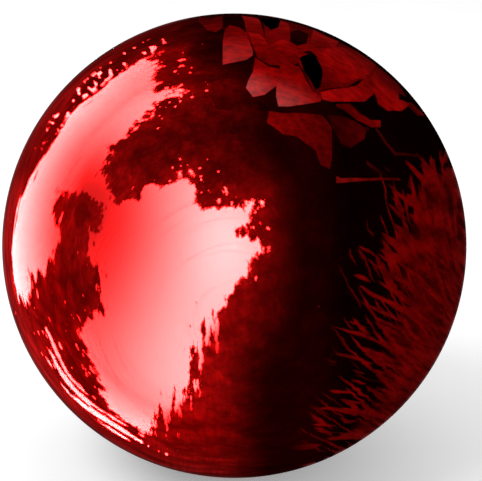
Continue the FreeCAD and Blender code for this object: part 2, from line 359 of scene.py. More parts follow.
def make_plug(material):
    """Moulded plug: crowned head with a rounded rim and a centre dimple, and a tapered stem."""
    low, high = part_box("vent_plug")
    axis_x = (low.x + high.x) / 2
    head = (high.x - low.x) / 2
    rim = RECESS_DEPTH - PLUG_RIM
    crown = (head ** 2 + PLUG_CROWN ** 2) / (2 * PLUG_CROWN)
    crown_centre = rim - PLUG_CROWN + crown
    crown_angle = math.degrees(math.asin(head / crown))
    face = arc_points((0, crown_centre), crown, -90, -90 + crown_angle, CROWN_STEPS)
    outline = []
    for radius, height in face:
        dimple = max(0.0, 1 - (radius / PLUG_DIMPLE) ** 2) ** 2
        groove = max(0.0, 1 - ((radius - PLUG_GROOVE) / (PLUG_DIMPLE / 4)) ** 2) ** 2
        outline.append((radius, height + PLUG_DIMPLE_DEPTH * dimple + PLUG_GROOVE_DEPTH * groove))
    outline = [point for point in outline if point[0] < head - RIM_ROUND]
    outline += arc_points((head - RIM_ROUND, rim + RIM_ROUND), RIM_ROUND, -60, 0, 5)
    outline += [(head, RECESS_DEPTH - PLUG_EDGE), (head - PLUG_EDGE, RECESS_DEPTH)]
    outline += [(STEM_RADIUS, RECESS_DEPTH), (STEM_RADIUS, PLATE_TOP)]
    outline += [(PLUG_TIP_RADIUS + PLUG_TIP_BEVEL, high.z - PLUG_TIP_BEVEL)]
    outline += [(PLUG_TIP_RADIUS - PLUG_TIP_BEVEL / 2, high.z), (0, high.z)]
    mesh = bmesh.new()
    turn_runs(mesh, [(outline, 0)], PLUG_AROUND)
    piece = finish_mesh("rubber_vent_plug", mesh)
    piece.data.transform(Matrix.Translation((axis_x, 0, 0)))
    return place(piece, "vent_plug", material, "vent_plug")


def make_weld(name, node, radius, seat, ripples, material):
    """Fillet weld with the overlapping ripples of a hand-laid bead, all inside a right angle."""
    around = ripples * RIPPLE_STEPS
    mesh = bmesh.new()
    corner = circle_ring(mesh, 0, radius, seat, around)
    rows = []
    for part in range(WELD_STEPS + 1):
        share = part / WELD_STEPS
        bulge = math.sin(math.pi * share)
        row = []
        for step in range(around):
            ripple = 0.5 + 0.5 * abs(math.sin(math.pi * step / RIPPLE_STEPS + 0.5 * bulge))
            swell = WELD_SWELL_SHARE * bulge * ripple
            out = WELD_LEG * min(1.0, (1 - share) * (0.9 + 0.1 * ripple) + swell * (1 - share))
            rise = WELD_LEG * min(1.0, share * (0.9 + 0.1 * ripple) + swell * share)
            angle = math.tau * step / around
            row.append(mesh.verts.new(((radius + out) * math.cos(angle),
                                       (radius + out) * math.sin(angle), seat + rise)))
        rows.append(row)
    for before, after in zip([corner] + rows, rows + [corner]):
        for step in range(around):
            following = (step + 1) % around
            mesh.faces.new([before[step], before[following], after[following], after[step]])
    piece = finish_mesh(name, mesh)
    return place(piece, node, material)


# Materials

class Nodes:
    """Short names for adding and joining the nodes of one material."""

    def __init__(self, name, tree=None):
        if tree is None:
            self.material = bpy.data.materials.new(name)
            self.material.use_nodes = True
            tree = self.material.node_tree
            tree.nodes.clear()
        self.tree = tree

    def add(self, kind, inputs=None, **settings):
        node = self.tree.nodes.new(kind)
        for key, value in settings.items():
            setattr(node, key, value)
        for key, value in (inputs or {}).items():
            if isinstance(value, bpy.types.NodeSocket):
                self.tree.links.new(value, node.inputs[key])
            else:
                node.inputs[key].default_value = value
        return node

    def math(self, operation, first, second=0.0):
        return self.add("ShaderNodeMath", {0: first, 1: second}, operation=operation).outputs[0]

    def plus(self, first, second):
        return self.math("ADD", first, second)

    def minus(self, first, second):
        return self.math("SUBTRACT", first, second)

    def times(self, first, second):
        return self.math("MULTIPLY", first, second)

    def larger(self, first, second):
        return self.math("MAXIMUM", first, second)

    def here(self):
        return self.add("ShaderNodeTexCoord").outputs["Object"]

    def attribute(self, label, output="Fac"):
        return self.add("ShaderNodeAttribute", attribute_name=label).outputs[output]

    def parts(self, vector):
        """The X, Y and Z of a vector."""
        return self.add("ShaderNodeSeparateXYZ", {"Vector": vector}).outputs

    def joined(self, first, second, third=0.0):
        """The vector with these as its X, Y and Z."""
        return self.add("ShaderNodeCombineXYZ", {"X": first, "Y": second, "Z": third}).outputs[0]

    def length(self, vector):
        return self.add("ShaderNodeVectorMath", {0: vector}, operation="LENGTH").outputs["Value"]

    def noise(self, coordinates, scale, detail=4.0, roughness=0.5):
        return self.add("ShaderNodeTexNoise", {
            "Vector": coordinates, "Scale": scale, "Detail": detail, "Roughness": roughness,
        }).outputs["Fac"]

    def span(self, value, low, high, to_low=0.0, to_high=1.0):
        """A value from low to high, eased to a value from to_low to to_high."""
        return self.add("ShaderNodeMapRange", {
            "Value": value, "From Min": low, "From Max": high, "To Min": to_low, "To Max": to_high,
        }, interpolation_type="SMOOTHSTEP").outputs["Result"]

    def window(self, value, rise, fall, top=1.0):
        """From zero to top over the range of rise, and back to zero over the range of fall."""
        return self.times(self.span(value, *rise, 0.0, top), self.span(value, *fall, 1.0, 0.0))

    def stretched(self, coordinates, scale, turn=(0.0, 0.0, 0.0)):
        return self.add("ShaderNodeMapping", {
            "Vector": coordinates, "Rotation": turn, "Scale": scale,
        }).outputs["Vector"]

    def mix(self, share, first, second):
        """A colour between two others."""
        return self.add("ShaderNodeMix", {0: share, 6: first, 7: second}, data_type="RGBA").outputs[2]

    def blend(self, share, first, second):
        """A plain number between two others."""
        return self.add("ShaderNodeMix", {0: share, 2: first, 3: second}, data_type="FLOAT").outputs[0]

    def bump(self, height, distance, strength=1.0, under=None):
        inputs = {"Height": height, "Distance": distance, "Strength": strength}
        if under is not None:
            inputs["Normal"] = under
        return self.add("ShaderNodeBump", inputs).outputs["Normal"]

    def seen_directly(self):
        """One for rays of the camera, of mirrors and of glass, zero for the rest."""
        path = self.add("ShaderNodeLightPath")
        seen = self.plus(path.outputs["Is Camera Ray"], path.outputs["Is Glossy Ray"])
        seen = self.plus(seen, path.outputs["Is Transmission Ray"])
        return self.math("MINIMUM", seen, 1.0)

    def before_diffuse(self):
        """One for rays that have met no diffuse surface yet, zero for the rest."""
        path = self.add("ShaderNodeLightPath")
        return self.minus(1.0, self.math("MINIMUM", path.outputs["Diffuse Depth"], 1.0))

    def cleared(self, share, shader):
        """A shader that is see-through where the share is one."""
        clear = self.add("ShaderNodeBsdfTransparent").outputs[0]
        return self.add("ShaderNodeMixShader", {0: share, 1: shader, 2: clear}).outputs[0]

    def end(self, shader):
        self.add("ShaderNodeOutputMaterial", {"Surface": shader})
        return self.material

    def end_principled(self, inputs):
        return self.end(self.add("ShaderNodeBsdfPrincipled", inputs).outputs[0])


def red_mirror_material():
    """Mirror-polished steel under a clear red lacquer: faint wipe marks, dust and waviness."""
    nodes = Nodes("red_lacquered_mirror")
    here = nodes.here()
    depth = nodes.span(nodes.noise(here, 9.0, 3.0, 0.55), 0.3, 0.7)
    colour = nodes.mix(depth, (0.60, 0.0058, 0.0058, 1), (0.65, 0.0072, 0.0072, 1))
    wipes = []
    for number, (turn, across, along) in enumerate((
        ((0.3, 0.5, 0.2), 900.0, 14.0), ((1.1, 0.2, 1.4), 700.0, 11.0), ((0.6, 1.3, 2.3), 1100.0, 17.0),
    )):
        lines = nodes.noise(nodes.stretched(here, (along, across, along), turn), 1.0, 2.0, 0.6)
        patches = nodes.noise(here, 13.0 + 4 * number, 2.0)
        wipes.append(nodes.times(nodes.span(lines, 0.56, 0.72), nodes.span(patches, 0.42, 0.60)))
    wiped = nodes.larger(nodes.larger(wipes[0], wipes[1]), wipes[2])
    colour = nodes.mix(nodes.times(wiped, 0.55), colour, (0.48, 0.0036, 0.0036, 1))
    cells = nodes.add("ShaderNodeTexVoronoi", {"Vector": here, "Scale": 60.0})
    speck_size = nodes.span(nodes.noise(here, 41.0, 0.0), 0.42, 0.66, 0.0, 0.05)
    speck = nodes.math("LESS_THAN", cells.outputs["Distance"], speck_size)
    colour = nodes.mix(nodes.times(speck, 0.6), colour, (0.16, 0.0050, 0.0050, 1))
    scuffs = nodes.plus(nodes.noise(here, 1100.0, 4.0, 0.7), nodes.noise(here, 110.0, 2.0))
    scuffs = nodes.plus(scuffs, nodes.span(nodes.parts(here)["Z"], 0.0, 0.0006, 0.05, -0.6))
    worn = nodes.span(scuffs, 1.0, 1.1)
    colour = nodes.mix(worn, colour, (0.55, 0.53, 0.51, 1))
    haze = nodes.span(nodes.noise(here, 5.0, 5.0, 0.6), 0.35, 0.75, 0.022, 0.045)
    rough = nodes.plus(haze, nodes.times(wiped, 0.035))
    rough = nodes.plus(rough, nodes.times(nodes.larger(speck, worn), 0.3))
    normal = nodes.bump(nodes.noise(here, 14.0, 1.0, 0.4), 0.00012, 0.35)
    orange_peel = nodes.noise(here, 420.0, 1.0, 0.4)
    normal = nodes.bump(orange_peel, 0.0000020, 0.35, normal)
    return nodes.end_principled({
        "Base Color": colour, "Roughness": rough, "Normal": normal,
        "Metallic": 1.0, "Coat Weight": 0.05, "Coat Roughness": 0.02, "Coat IOR": 1.5,
        "Specular Tint": (0.55, 0.004, 0.004, 1),
    })


def steel_material(name, colour, dark, along, roughness):
    """Unpolished steel with lathe or roller lines round the ball's axis."""
    nodes = Nodes(name)
    here = nodes.here()
    parts = nodes.parts(here)
    radius = nodes.length(nodes.joined(parts["X"], parts["Y"]))
    lines = nodes.noise(nodes.joined(radius, parts["Z"]), along, 3.0, 0.7)
    blotch = nodes.noise(here, 160.0, 4.0, 0.6)
    base = nodes.mix(nodes.span(blotch, 0.35, 0.7), colour, dark)
    base = nodes.mix(nodes.span(lines, 0.35, 0.65, 0.0, 0.35), base, dark)
    rough = nodes.span(lines, 0.3, 0.7, roughness - 0.08, roughness + 0.1)
    normal = nodes.bump(lines, 0.00002, 0.6)
    return nodes.end_principled({
        "Base Color": base, "Roughness": rough, "Normal": normal, "Metallic": 1.0,
    })


def weld_material():
    """Weld metal with straw and blue heat tint along its edges."""
    nodes = Nodes("weld_metal")
    here = nodes.here()
    tint = nodes.noise(here, 260.0, 3.0, 0.6)
    grain = nodes.noise(here, 2500.0, 3.0, 0.7)
    base = nodes.mix(nodes.span(tint, 0.35, 0.55), (0.36, 0.35, 0.34, 1), (0.45, 0.33, 0.16, 1))
    base = nodes.mix(nodes.span(tint, 0.55, 0.75, 0.0, 0.7), base, (0.10, 0.13, 0.28, 1))
    rough = nodes.span(grain, 0.3, 0.7, 0.3, 0.5)
    normal = nodes.bump(grain, 0.00002, 0.7)
    return nodes.end_principled({
        "Base Color": base, "Roughness": rough, "Normal": normal, "Metallic": 1.0,
    })


def rubber_material():
    """Moulded black rubber, greyed by bloom, with a fine matt grain."""
    nodes = Nodes("moulded_rubber")
    here = nodes.here()
    bloom = nodes.noise(here, 420.0, 5.0, 0.65)
    grain = nodes.noise(here, 5200.0, 2.0, 0.6)
    base = nodes.mix(nodes.span(bloom, 0.4, 0.75), (0.018, 0.018, 0.019, 1), (0.055, 0.053, 0.050, 1))
    rough = nodes.span(bloom, 0.3, 0.7, 0.55, 0.75)
    normal = nodes.bump(grain, 0.00003, 0.5)
    return nodes.end_principled({
        "Base Color": base, "Roughness": rough, "Normal": normal, "Sheen Weight": 0.15,
    })


# Camera

# The ball's outline in the photograph, in pixels of its 482 by 481 frame.
FRAME_WIDE, FRAME_HIGH = 482, 481
OUTLINE_X, OUTLINE_Y, OUTLINE_RADIUS = 234.3, 245.7, 232.36
LENS, SENSOR = 100.0, 36.0
ELEVATION = math.radians(16)

back = Vector((0, -math.cos(ELEVATION), math.sin(ELEVATION)))
right = Vector((1, 0, 0))
up = back.cross(right)
outline_tangent = OUTLINE_RADIUS / FRAME_WIDE * SENSOR / LENS
distance = BALL_RADIUS / math.sin(math.atan(outline_tangent))
eye = CENTRE + back * distance


def make_camera():
    data = bpy.data.cameras.new("camera")
    data.lens = LENS
    data.sensor_width = SENSOR
    data.shift_x = (FRAME_WIDE / 2 - OUTLINE_X) / FRAME_WIDE
    data.shift_y = (OUTLINE_Y - FRAME_HIGH / 2) / FRAME_WIDE
    camera = add_object("camera", data)
    camera.matrix_world = Matrix.Translation(eye) @ Matrix((right, up, back)).transposed().to_4x4()
    bpy.context.scene.camera = camera


# Studio

# Rays at the disc's edge are drawn in to this share, so that they still meet the ball.
LIMB_SHARE = 0.999


def mirrored_ray(across, high):
    """Where the camera's ray through a point of the ball's disc meets the ball, and its reflection.

    The disc's edge is at 1 from its centre, across to the right and high upwards.
    """
    ray = (right * across + up * high) * outline_tangent * LIMB_SHARE - back
    ray.normalize()
    nearest = -(eye - CENTRE).dot(ray)
    off_axis = (eye - CENTRE + ray * nearest).length
    if off_axis >= BALL_RADIUS:
        point = CENTRE + (eye + ray * nearest - CENTRE).normalized() * BALL_RADIUS
    else:
        point = eye + ray * (nearest - math.sqrt(BALL_RADIUS ** 2 - off_axis ** 2))
    normal = (point - CENTRE).normalized()
    return point, ray - normal * 2 * ray.dot(normal)


DOME = 2.6
ABOVE_FLOOR = 0.0015
UNDER_RADIUS = 0.033


def on_dome(point, direction):
    """Where a reflected ray meets the studio's dome, or the floor if it points down."""
    offset = point - CENTRE
    along = offset.dot(direction)
    reach = -along + math.sqrt(along ** 2 - offset.length_squared + DOME ** 2)
    if direction.z < 0:
        reach = min(reach, max(0.002, (point.z - ABOVE_FLOOR) / -direction.z))
    return point + direction * reach


def ease(value, low, high):
    share = min(1.0, max(0.0, (value - low) / (high - low)))
    return share * share * (3 - 2 * share)


# Outlines of the two painted softbox reflections, glowing patches of the dome, by where they show in the
# ball's disc.
WIDE_SOFTBOX_REFLECTION = [
    (-0.56, 0.20), (-0.48, 0.19), (-0.36, 0.24), (-0.21, 0.27), (-0.16, 0.18), (-0.09, 0.155),
    (0.0, 0.165), (0.08, 0.185), (0.04, 0.11), (0.01, 0.03), (0.11, 0.005), (0.05, -0.04), (0.02, -0.11),
    (-0.03, -0.20), (-0.10, -0.32), (-0.16, -0.46), (-0.18, -0.60), (-0.26, -0.68), (-0.35, -0.73),
    (-0.36, -0.79), (-0.44, -0.76), (-0.54, -0.68), (-0.62, -0.50), (-0.65, -0.37), (-0.55, -0.28),
    (-0.58, -0.21), (-0.57, -0.13), (-0.62, 0.01), (-0.57, 0.11),
]
TALL_SOFTBOX_REFLECTION = [
    (-0.55, 0.21), (-0.58, 0.31), (-0.52, 0.43), (-0.42, 0.53), (-0.32, 0.61), (-0.26, 0.65),
    (-0.36, 0.67), (-0.35, 0.74), (-0.40, 0.78), (-0.47, 0.75), (-0.57, 0.68), (-0.68, 0.58),
    (-0.79, 0.44), (-0.86, 0.29), (-0.915, 0.18), (-0.95, 0.03), (-0.945, -0.12), (-0.90, -0.23),
    (-0.87, -0.13), (-0.80, -0.07), (-0.76, 0.04), (-0.77, 0.17), (-0.73, 0.23), (-0.64, 0.22),
]
LOW_STRIP = [
    (-0.79, -0.36), (-0.71, -0.51), (-0.60, -0.66), (-0.47, -0.78), (-0.34, -0.87), (-0.33, -0.89),
    (-0.48, -0.825), (-0.64, -0.71), (-0.77, -0.555), (-0.85, -0.40),
]

# How far out in the disc a card may reach, by how much its middle tones are lifted, and where it
# hangs between the ball and the dome: the first card's share of the way, and the step to the next.
CARD_RIM = 0.988
CARD_LIFT = 1.22
CARD_REACH, CARD_SPACING = 0.97, 0.012
# Cards that hang before the upper right screen, the farthest first: tone, paleness at the tip, and
# corners from the tip on. The corners were picked on a crop of the photograph enlarged
# CROP_ZOOM times, in pixels of that view.
CROP_LEFT, CROP_TOP, CROP_ZOOM = 190, 10, 6
# Painted reflection: the cards glow and are seen only in mirrors.
CARDS = [
    (0.19, 0.0, [(441, 250), (430, 60), (560, 20), (750, 80), (725, 245), (640, 255)]),
    (0.18, 0.0, [(720, 245), (740, 80), (900, 150), (1030, 230), (1005, 425), (860, 360), (800, 310)]),
    (0.19, 0.0, [(1000, 425), (1020, 225), (1150, 310), (1280, 430), (1300, 520), (1110, 490)]),
    (0.17, 0.0, [(640, 250), (800, 300), (1110, 480), (1050, 555), (850, 545), (740, 500), (655, 330)]),
    (0.11, 0.0, [(120, 450), (200, 440), (290, 480), (301, 560), (240, 600), (160, 590), (120, 520)]),
    (0.09, 0.0, [(260, 620), (330, 560), (400, 560), (420, 640), (380, 700), (330, 730), (270, 750),
        (240, 740)]),
    (0.15, 0.0, [(150, 135), (100, 115), (60, 80), (42, 45), (120, 30), (200, 40), (190, 110)]),
    (0.07, 0.0, [(1040, 770), (960, 830), (901, 800), (860, 720), (820, 630), (901, 640), (1000, 680),
        (1060, 720)]),
    (0.17, 0.0, [(455, 670), (480, 610), (560, 615), (700, 620), (800, 640), (850, 700), (855, 800),
        (845, 900), (831, 960), (780, 930), (750, 849), (700, 800), (640, 760), (560, 745),
        (500, 700)]),
    (0.0, 0.0, [(655, 290), (690, 270), (740, 262), (770, 300), (800, 350), (790, 400), (775, 470),
        (750, 480), (720, 430), (680, 370)]),
    (0.0, 0.0, [(425, 45), (480, 30), (545, 50), (530, 100), (490, 118), (450, 95)]),
    (0.02, 0.0, [(600, 135), (660, 115), (715, 150), (700, 200), (640, 215), (600, 190)]),
    (0.02, 0.0, [(790, 478), (850, 470), (940, 462), (1010, 430), (1040, 408), (1080, 412), (1050, 455),
        (960, 488), (880, 492)]),
    (0.26, 0.0, [(310, 35), (410, 30), (430, 100), (441, 180), (400, 230), (350, 190), (330, 130)]),
    (0.255, 0.0, [(541, 50), (590, 70), (595, 140), (560, 200), (500, 250), (445, 240), (435, 180),
        (500, 124), (530, 110)]),
    (0.28, 0.0, [(740, 100), (830, 145), (900, 180), (860, 225), (780, 235), (718, 235), (725, 170)]),
    (0.27, 0.0, [(800, 250), (901, 235), (1000, 240), (1120, 320), (1080, 389), (1010, 415), (940, 445),
        (880, 430), (850, 350), (800, 319)]),
    (0.28, 0.1, [(350, 130), (420, 140), (480, 220), (560, 170), (640, 235), (655, 310), (600, 340),
        (470, 330), (400, 290), (371, 210)]),
    (0.26, 0.2, [(790, 535), (780, 490), (901, 485), (1000, 455), (1060, 400), (1120, 350), (1160, 420),
        (1110, 500), (1050, 555), (950, 550), (850, 545)]),
    (0.27, 0.0, [(1270, 605), (1180, 602), (1130, 560), (1100, 480), (1085, 410), (1120, 360),
        (1180, 410), (1240, 470), (1250, 530), (1330, 570)]),
    (0.12, 0.0, [(1405, 640), (1361, 630), (1310, 580), (1320, 555), (1370, 590)]),
    (0.43, 2.6, [(200, 325), (190, 280), (200, 200), (204, 115), (240, 95), (290, 102), (330, 135),
        (350, 180), (372, 240), (383, 272), (340, 293), (265, 318)]),
    (0.54, 4.4, [(340, 470), (350, 420), (372, 370), (390, 290), (470, 335), (560, 350), (560, 420),
        (505, 468), (441, 508), (371, 520)]),
    (0.46, 3.7, [(532, 582), (516, 520), (512, 460), (530, 400), (545, 319), (650, 340), (700, 430),
        (740, 498), (790, 520), (775, 548), (700, 562), (600, 576)]),
    (0.15, 0.2, [(1150, 655), (1140, 702), (1090, 700), (1010, 655), (940, 602), (880, 582), (880, 562),
        (960, 568), (1020, 615), (1090, 660)]),
    (0.15, 0.2, [(873, 1000), (905, 1012), (1080, 1008), (1260, 1010), (1265, 1020), (1080, 1028),
        (905, 1040), (880, 1036)]),
    (0.05, 0.2, [(1118, 702), (1130, 712), (1185, 795), (1235, 858), (1410, 884), (1412, 892),
        (1222, 870), (1166, 800), (1112, 715)]),
    (0.04, 0.1, [(1060, 905), (1075, 908), (1130, 960), (1190, 990), (1190, 1000), (1120, 975),
        (1065, 925)]),
]
# The left limit of the streaked screen at the right, as heights and places across.
STREAK_HEIGHTS = (-0.95, -0.79, -0.67, -0.52, -0.40, -0.27, -0.12, 0.0, 0.10, 0.22, 0.38)
STREAK_STARTS = (0.46, 0.42, 0.53, 0.60, 0.56, 0.66, 0.63, 0.64, 0.69, 0.69, 0.90)
FAN_CENTRE = (1.6, -1.0)


def aims_of(points):
    """Directions of the reflected rays at points of the disc, as rows of an array."""
    return numpy.array([mirrored_ray(*point)[1] for point in points])


def disc_spot(column, row):
    """A corner picked on the enlarged crop as a place in the ball's disc, kept inside its rim."""
    across = (CROP_LEFT + column / CROP_ZOOM - OUTLINE_X) / OUTLINE_RADIUS
    high = (OUTLINE_Y - CROP_TOP - row / CROP_ZOOM) / OUTLINE_RADIUS
    inward = min(1.0, CARD_RIM / math.hypot(across, high))
    return round(across * inward, 2), round(high * inward, 2)


def card_strength(tone):
    """Strength of a card, with the middle tones lifted off the screen behind."""
    return round(tone * CARD_LIFT, 2) if 0.1 < tone < 0.3 else tone


def smooth_outline(corners, steps=10):
    """A closed curve through the corners."""
    curve = []
    for index in range(len(corners)):
        before, first, second, after = (Vector(corners[(index + shift) % len(corners)])
                                        for shift in (-1, 0, 1, 2))
        for step in range(steps):
            share = step / steps
            curve.append(0.5 * (2 * first + (second - before) * share
                                + (2 * before - 5 * first + 4 * second - after) * share ** 2
                                + (3 * first - before - 3 * second + after) * share ** 3))
    return curve


def inside_outline(points, curve):
    """Whether each point of the disc lies inside a closed curve."""
    inside = numpy.zeros(len(points), dtype=bool)
    across, high = points[:, 0], points[:, 1]
    for first, second in zip(curve, curve[1:] + curve[:1]):
        crosses = (first.y > high) != (second.y > high)
        if crosses.any():
            meet = first.x + (high - first.y) / (second.y - first.y or 1) * (second.x - first.x)
            inside ^= crosses & (across < meet)
    return inside


def softbox_reflection_field(points, aims, corners):
    """How far inside a painted softbox reflection each direction lies, in radians, negative outside."""
    curve = smooth_outline(corners)
    edge = aims_of(curve)
    nearest = numpy.clip(aims @ edge.T, -1, 1).max(axis=1)
    angle = numpy.arccos(nearest)
    return numpy.where(inside_outline(points, curve), angle, -angle)


def softbox_reflection_glow(across, high):
    """Glow strength of the painted softbox reflections, weakest where they meet and rising away from there.
    """
    drop = high - 0.19
    away = math.hypot(across + 0.62, drop if drop > 0 else 0.42 * drop)
    rise = (1 - math.exp(-(away / 0.33) ** 2)) ** 1.8
    outer = ease(math.hypot(across, high), 0.70, 0.92)
    hot = math.exp(-((across + 0.05) / 0.15) ** 2 - (high / 0.25) ** 2)
    low = math.exp(-((across + 0.22) / 0.22) ** 2 - ((high + 0.40) / 0.30) ** 2)
    shine = 46.0 * rise + 48.0 * outer + 22.0 * hot + 12.0 * low
    return 1.2 + shine * (1 - 0.55 * ease(high, 0.55, 0.85))


def screen_reflection_glow(across, high):
    """Glow strength of the dark screens round the softboxes, a painted reflection, with a painted bright band
    just inside the ball's rim.
    """
    limit = 0.32 - 0.16 * ease(-high, 0.15, 0.65) - 0.16 * ease(high, 0.20, 0.50)
    limit -= 0.20 * ease(high, 0.68, 0.85)
    radius = math.hypot(across, high)
    rim = ease(radius, 0.93, 0.965) * (1 - ease(radius, 0.985, 0.998)) * ease(-across, 0.3, 0.7)
    left = 0.22 * ease(limit - across, 0.0, 0.30) + 0.20 * ease(-across, 0.6, 0.9) + 0.45 * rim
    left *= 1 - 0.28 * ease(high, 0.18, 0.34)
    middle = 0.018 * ease(0.50 - across, 0.0, 0.2)
    return 0.005 + left + middle


def streak_start(across, high):
    """From 0 to 1 across the left limit of the streaked screen."""
    past = across - float(numpy.interp(high, STREAK_HEIGHTS, STREAK_STARTS))
    return ease(past, -0.24, 0.16) * ease(0.46 - high, 0.0, 0.14)


def strip_field(spots, aims):
    """The low glowing strip of the painted reflection, broken into thin arcs."""
    radius = numpy.hypot(spots[:, 0], spots[:, 1])
    angle = numpy.arctan2(spots[:, 1], spots[:, 0])
    wave = 0.5 + 0.5 * numpy.sin(math.tau * radius / 0.026 + 2.6 * numpy.sin(11 * angle) + 4 * angle)
    return softbox_reflection_field(spots, aims, LOW_STRIP) - 0.02 - 0.15 * wave


def screen_mottle(nodes, aim, detail):
    """Uneven glow of the dark screens in the painted reflection: patches, with soft shading and fine detail
    over them.
    """
    sway = nodes.add("ShaderNodeTexNoise", {"Vector": aim, "Scale": 6.0, "Detail": 2.0, "Roughness": 0.5})
    bend = nodes.add("ShaderNodeVectorMath", {0: sway.outputs["Color"], 1: (0.2, 0.2, 0.2)},
                     operation="MULTIPLY").outputs[0]
    moved = nodes.add("ShaderNodeVectorMath", {0: aim, 1: bend}, operation="ADD").outputs[0]
    patches = nodes.add("ShaderNodeTexVoronoi", {"Vector": moved, "Scale": 9.5})
    tone = nodes.add("ShaderNodeSeparateColor", {"Color": patches.outputs["Color"]}).outputs[0]
    shade = nodes.times(nodes.span(tone, 0.25, 0.90, 0.02, 2.3),
                        nodes.span(patches.outputs["Distance"], 0.0, 0.7, 1.3, 0.4))
    soft = nodes.span(nodes.noise(aim, 7.0, 6.0, 0.7), 0.38, 0.66, 0.08, 1.9)
    mottle = nodes.plus(nodes.times(shade, 0.45), nodes.times(soft, 0.55))
    return nodes.times(mottle, nodes.span(detail, 0.3, 0.7, 0.6, 1.4))


def streaked_light(nodes, field, aim):
    """Glow strength of the streaked screen, a painted reflection: strands that fan out, under larger
    blotches.
    """
    strands = []
    for shift, narrow, lean in ((0.0, 46.0, 0.12), (7.0, 60.0, -0.3)):
        swayed = nodes.plus(field["fan"], nodes.times(field["far"], lean))
        swayed = nodes.plus(swayed, nodes.times(nodes.noise(aim, 5.0 + shift, 2.0), 0.022))
        spread = nodes.joined(nodes.times(field["far"], 5.0), nodes.times(swayed, narrow), shift)
        strands.append(nodes.noise(spread, 1.0, 1.0, 0.4))
    strand = nodes.larger(*strands)
    reach = nodes.plus(field["streaks"], nodes.span(strand, 0.46, 0.70, -0.40, 0.46))
    streak = nodes.times(nodes.span(reach, 0.46, 0.70, 0.0, 0.155), nodes.span(strand, 0.45, 0.70, 0.75, 1.2))
    spread = nodes.joined(nodes.times(field["far"], 11.0), nodes.times(field["fan"], 14.0), 3.0)
    blotch = nodes.noise(spread, 1.0, 5.0, 0.65)
    return nodes.times(streak, nodes.span(blotch, 0.34, 0.66, 0.45, 1.4))


def dome_material():
    """Painted reflection, a glow that only mirrors see: softboxes with ragged edges, and mottled and streaked
    dark screens round them.
    """
    nodes = Nodes("painted_reflection_dome")
    field = {label: nodes.attribute(label)
             for label in ("inside", "light", "screen", "streaks", "fan", "far")}
    inside = field["inside"]
    aim = nodes.attribute("aim", "Vector")
    spot = nodes.attribute("spot", "Vector")
    across, high = (nodes.parts(spot)[axis] for axis in ("X", "Y"))
    tall = nodes.stretched(aim, (1.0, 1.0, 0.42))
    fine = nodes.noise(tall, 34.0, 4.0, 0.65)
    # Low down, the painted softbox reflection's edge has upright teeth in place of ragged clumps.
    toothed = nodes.times(nodes.span(high, -0.42, -0.18, 1.0, 0.0),
                          nodes.window(across, (-0.5, -0.3), (-0.12, 0.16)))
    teeth, slim = (nodes.noise(nodes.stretched(spot, scale), 1.0, 3.0, 0.65)
                   for scale in ((36.0, 7.0, 1.0), (64.0, 14.0, 1.0)))

    edge = nodes.plus(inside, nodes.span(nodes.noise(aim, 3.4, 2.0), 0.3, 0.7, -0.05, 0.05))
    cells = nodes.add("ShaderNodeTexVoronoi", {"Vector": tall, "Scale": 16.0}).outputs["Distance"]
    ragged = nodes.plus(nodes.times(nodes.minus(cells, 0.42), 0.10),
                        nodes.times(nodes.minus(fine, 0.5), 0.19))
    tooth = nodes.times(nodes.minus(teeth, 0.5), 0.8)
    edge = nodes.plus(edge, nodes.blend(toothed, ragged, tooth))
    cover = nodes.span(edge, -0.012, 0.016)

    # Small gaps in the painted screens let the painted softbox glow through.
    gaps = nodes.blend(toothed, nodes.noise(tall, 27.0, 1.0), slim)
    gaps = nodes.plus(gaps, nodes.times(inside, 0.5))
    speckled = nodes.window(across, (-0.42, -0.24), (-0.04, 0.12), 0.115)
    gaps = nodes.plus(gaps, nodes.times(nodes.span(high, 0.10, 0.25), nodes.minus(speckled, 0.08)))
    cover = nodes.larger(cover, nodes.span(gaps, 0.655, 0.71, 0.0, 0.7))
    fall = nodes.math("POWER", nodes.span(inside, -0.22, 0.02, 0.15, 1.0), 3.0)
    cover = nodes.times(cover, nodes.blend(toothed, 1.0, fall))
    band = nodes.window(nodes.length(spot), (0.885, 0.905), (0.945, 0.965))
    band = nodes.times(band, nodes.times(nodes.span(across, -0.36, -0.26, 1.0, 0.0),
                                         nodes.span(high, 0.40, 0.60)))
    holes = nodes.plus(nodes.noise(spot, 44.0, 0.0),
                       nodes.span(nodes.noise(spot, 9.0, 0.0), 0.35, 0.6, -0.1, 0.0))
    cover = nodes.larger(cover, nodes.times(band, nodes.span(holes, 0.59, 0.64)))

    mottle = screen_mottle(nodes, aim, nodes.blend(toothed, fine, slim))
    mottle = nodes.blend(nodes.span(across, -0.1, 0.25, 0.5, 0.7), mottle, 0.86)
    # Painted light spill: the screens glow brighter near the softbox reflections.
    spill = nodes.blend(toothed, nodes.span(inside, -0.30, 0.0, 0.0, 0.22),
                        nodes.span(inside, -0.55, 0.0, 0.0, 0.36))
    dark = nodes.times(nodes.plus(field["screen"], spill), mottle)
    dark = nodes.plus(dark, streaked_light(nodes, field, aim))

    glow = nodes.times(nodes.blend(cover, dark, field["light"]), nodes.before_diffuse())
    colour = nodes.mix(cover, (1.0, 0.35, 0.35, 1), (1.0, 1.0, 1.0, 1))
    lit = nodes.add("ShaderNodeEmission", {"Color": colour, "Strength": glow})
    here = nodes.parts(nodes.here())
    radius = nodes.length(nodes.joined(here["X"], here["Y"]))
    under = nodes.times(nodes.math("LESS_THAN", radius, UNDER_RADIUS),
                        nodes.math("LESS_THAN", here["Z"], 2 * ABOVE_FLOOR))
    return nodes.end(nodes.cleared(under, lit.outputs[0]))


def show_in_mirrors_only(name, data):
    item = add_object(name, data)
    item.visible_camera = False
    item.visible_diffuse = False
    item.visible_shadow = False
    item.visible_volume_scatter = False


